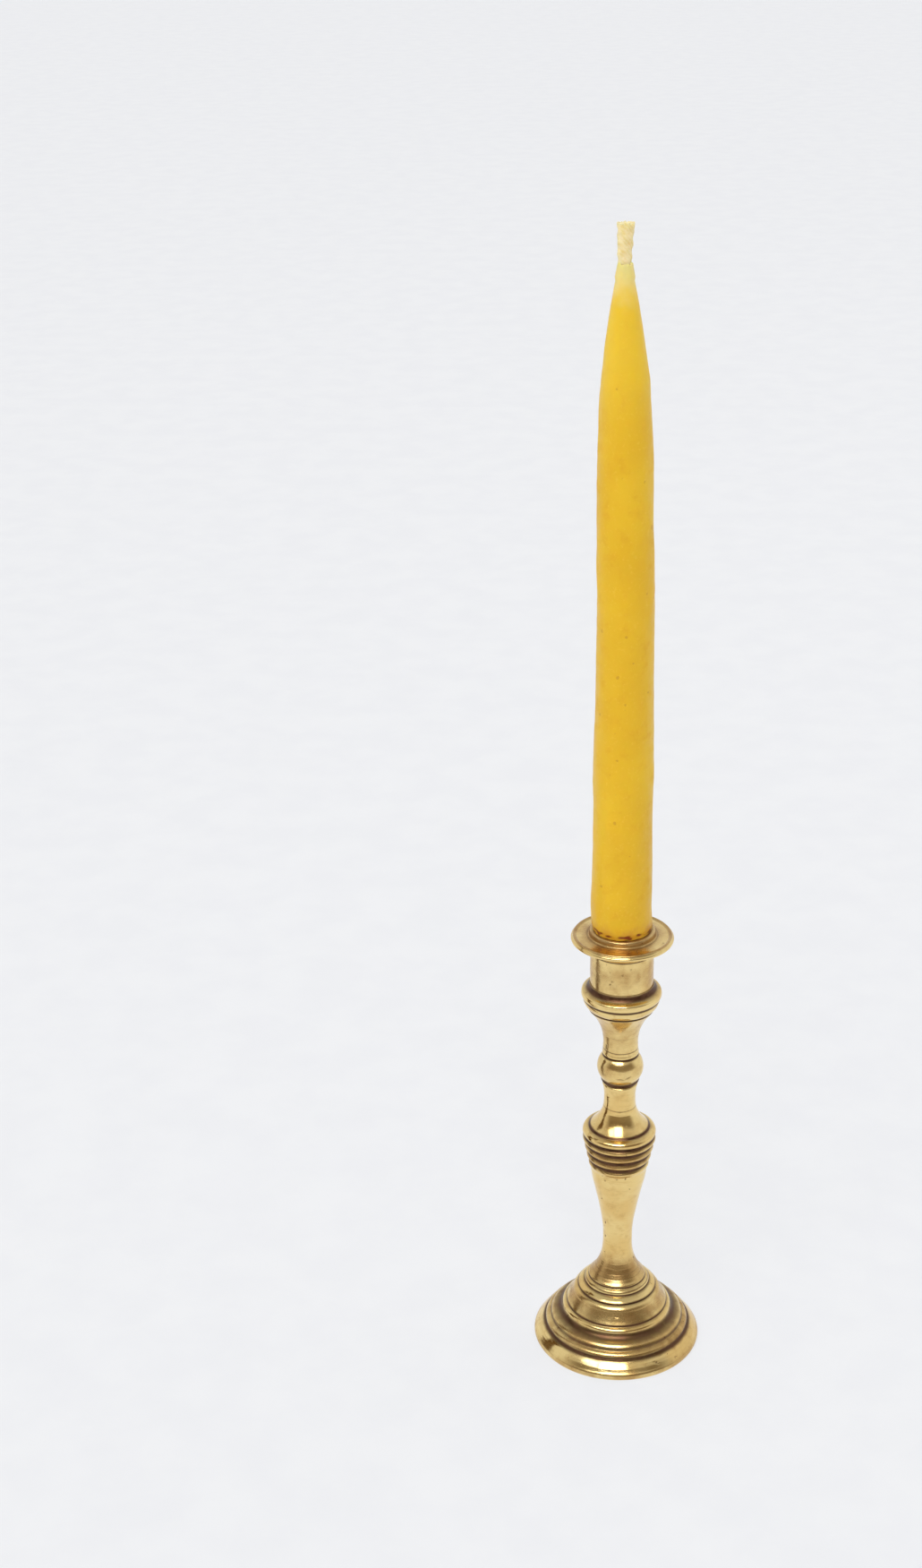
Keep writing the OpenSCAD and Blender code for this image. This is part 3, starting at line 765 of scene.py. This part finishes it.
def make_card():
    """A brown card cut like a wider stick, which shows only as a thin line in the polished brass."""
    # The lowest height that is kept, how much wider than the stick the card is, and its extra margin
    lowest, widening, margin = 8, 1.5, 2.2
    edge = np.concatenate(list(turned.values()))[::8]
    edge = edge[edge[:, 1] > lowest]
    verts = [(side * (widening * r + margin) * MM, 0, z * MM) for r, z in edge for side in (-1, 1)]
    faces = [(2 * i, 2 * i + 1, 2 * i + 3, 2 * i + 2) for i in range(len(edge) - 1)]
    obj, net = stage_object("studio_card", verts, faces)
    obj.location = (-0.0751, 0.0119, 0.0)
    obj.rotation_euler = (0, 0, math.radians(81))
    brown = net.node("ShaderNodeBsdfDiffuse", {"Color": (0.15, 0.08, 0.02, 1)}).outputs[0]
    net.node("ShaderNodeOutputMaterial", {"Surface": brown})
    obj.visible_camera = obj.visible_diffuse = obj.visible_shadow = False


def window_pane(net, azimuth, rise, sides, ends):
    """A soft-edged rectangle of sky between two azimuths and two elevations, all in degrees."""
    left, right = (math.radians(angle) for angle in sides)
    bottom, top = (math.sin(math.radians(angle)) for angle in ends)
    level = net.math("MULTIPLY", net.span(azimuth, left - 0.03, left + 0.03),
                     net.span(azimuth, right + 0.03, right - 0.03))
    upright = net.math("MULTIPLY", net.span(rise, bottom - 0.02, bottom + 0.02),
                       net.span(rise, top + 0.03, top - 0.03))
    return net.math("MULTIPLY", level, upright)


def make_world():
    """A white studio round the object, a darker room on the camera's side, and a two-pane window in front."""
    world = bpy.data.worlds.new("studio")
    bpy.context.scene.world = world
    world.use_nodes = True
    net = Net(world.node_tree)
    direction = net.node("ShaderNodeTexCoord").outputs["Generated"]
    split = net.node("ShaderNodeSeparateXYZ", {0: direction}).outputs
    towards = net.math("MULTIPLY", split[1], -1.0)
    azimuth = net.math("ARCTAN2", split[0], towards)
    rise = split[2]

    white = net.blend(net.span(rise, 0.55, 0.95), (0.80, 0.80, 0.81, 1), (0.52, 0.51, 0.50, 1))
    room = net.blend(net.span(rise, 0.05, 0.6), (0.30, 0.255, 0.205, 1), (0.21, 0.17, 0.13, 1))
    in_front = net.math("MULTIPLY", net.span(towards, 0.05, 0.55), net.span(rise, 0.72, 0.5))
    around = net.blend(in_front, white, room)

    left_pane = window_pane(net, azimuth, rise, (-58, -33), (40, 60))
    right_pane = window_pane(net, azimuth, rise, (-29, 13), (38, 62))
    glow = net.math("ADD", net.math("MULTIPLY", left_pane, 3.5), net.math("MULTIPLY", right_pane, 6.5))
    sky = net.node("ShaderNodeCombineColor", {0: glow, 1: glow, 2: glow}).outputs[0]
    around = net.blend(1.0, around, sky, "ADD")
    seen = net.node("ShaderNodeLightPath").outputs["Is Camera Ray"]
    colour = net.blend(seen, around, (0.845, 0.855, 0.875, 1))
    back = net.node("ShaderNodeBackground", {"Color": colour, "Strength": 1.0}).outputs[0]
    net.node("ShaderNodeOutputWorld", {"Surface": back})


def make_camera():
    """The camera of the photograph: its place, its pitch and roll, and its field of view."""
    place = Vector((-0.034205, -0.452985, 0.338127))
    pitch, roll = math.radians(23.746), -0.01383
    forward = Vector((0, math.cos(pitch), -math.sin(pitch)))
    level, lift = Vector((1, 0, 0)), Vector((0, math.sin(pitch), math.cos(pitch)))
    right = math.cos(roll) * level + math.sin(roll) * lift
    up = math.cos(roll) * lift - math.sin(roll) * level
    data = bpy.data.cameras.new("camera")
    data.sensor_width = 36
    data.sensor_fit = "AUTO"
    data.lens = 54.486
    data.clip_start, data.clip_end = 0.01, 50
    obj = bpy.data.objects.new("camera", data)
    bpy.context.scene.collection.objects.link(obj)
    turn = Matrix((right, up, -forward)).transposed().to_4x4()
    obj.matrix_world = Matrix.Translation(place) @ turn
    bpy.context.scene.camera = obj


def make_light(name, place, size, power):
    """A soft rectangular light that points at the middle of the stick and has no reflection of its own."""
    data = bpy.data.lights.new(name, "AREA")
    data.shape = "RECTANGLE"
    data.size, data.size_y = size, size * 0.7
    data.energy = power
    obj = bpy.data.objects.new(name, data)
    bpy.context.scene.collection.objects.link(obj)
    obj.location = place
    obj.rotation_euler = (Vector((0, 0, 0.1)) - Vector(place)).to_track_quat("-Z", "Y").to_euler()
    obj.visible_glossy = False
    obj.visible_camera = False


make_floor()
make_card()
make_world()
# The key light is high on the camera's left, the weaker fill on the right and a little behind the object
make_light("key", (-0.5, -0.75, 1.05), 0.7, 3.2)
make_light("fill", (0.9, 0.35, 0.8), 0.9, 2.0)
make_camera()
bpy.context.scene.view_settings.view_transform = "Standard"
